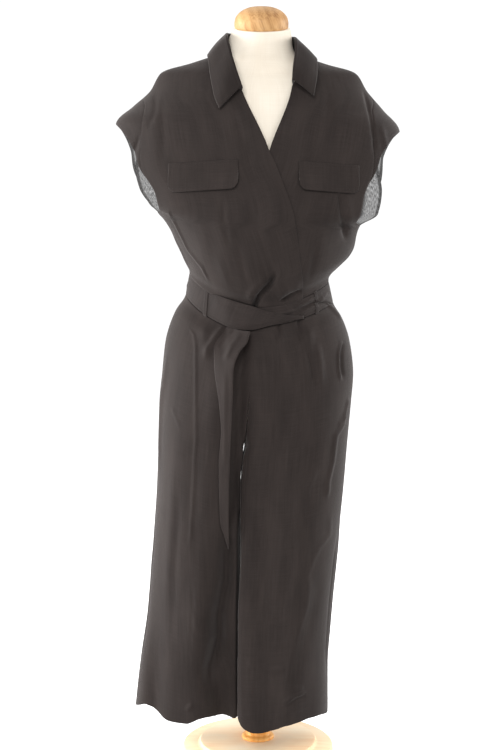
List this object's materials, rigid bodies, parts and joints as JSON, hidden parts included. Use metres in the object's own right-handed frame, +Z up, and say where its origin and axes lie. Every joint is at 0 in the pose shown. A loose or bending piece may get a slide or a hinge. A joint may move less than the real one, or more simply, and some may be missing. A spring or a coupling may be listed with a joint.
{
  "type": "jumpsuit on a limbless dress form with its stand",
  "caption": "Wrap-front jumpsuit with a shirt collar, cap sleeves, tie belt and wide cropped legs, worn by a limbless dress form on a post and round base, to stand on a floor.",
  "frame": {"origin": "the middle of the base's underside, on the floor", "axes": "+Z up along the post. -Y is the garment's front, and -X is the wearer's right"},
  "size_m": [0.582, 0.324, 1.5829],
  "materials": {
    "cloth": "matte plain-woven cotton, brownish charcoal",
    "linen": "matte linen stretched over the form",
    "varnished_wood": "turned and varnished, satin gloss",
    "pale_wood": "turned and lacquered, satin"
  },
  "bodies": {
    "root": {"bodice_front_right": "cloth", "bodice_front_left": "cloth", "bodice_back": "cloth", "sleeve_right": "cloth", "sleeve_left": "cloth", "collar": "cloth", "pocket_flap_right": "cloth", "pocket_flap_left": "cloth", "trouser_front_right": "cloth", "trouser_front_left": "cloth", "trouser_back_right": "cloth", "trouser_back_left": "cloth", "belt_band": "cloth", "belt_tail": "cloth", "belt_loop_1": "cloth", "belt_loop_2": "cloth", "belt_loop_3": "cloth", "belt_loop_4": "cloth", "form_torso": "linen", "neck_cap": "varnished_wood", "stand_post": "varnished_wood", "post_collar": "varnished_wood", "stand_base": "pale_wood"}
  },
  "joints": []
}
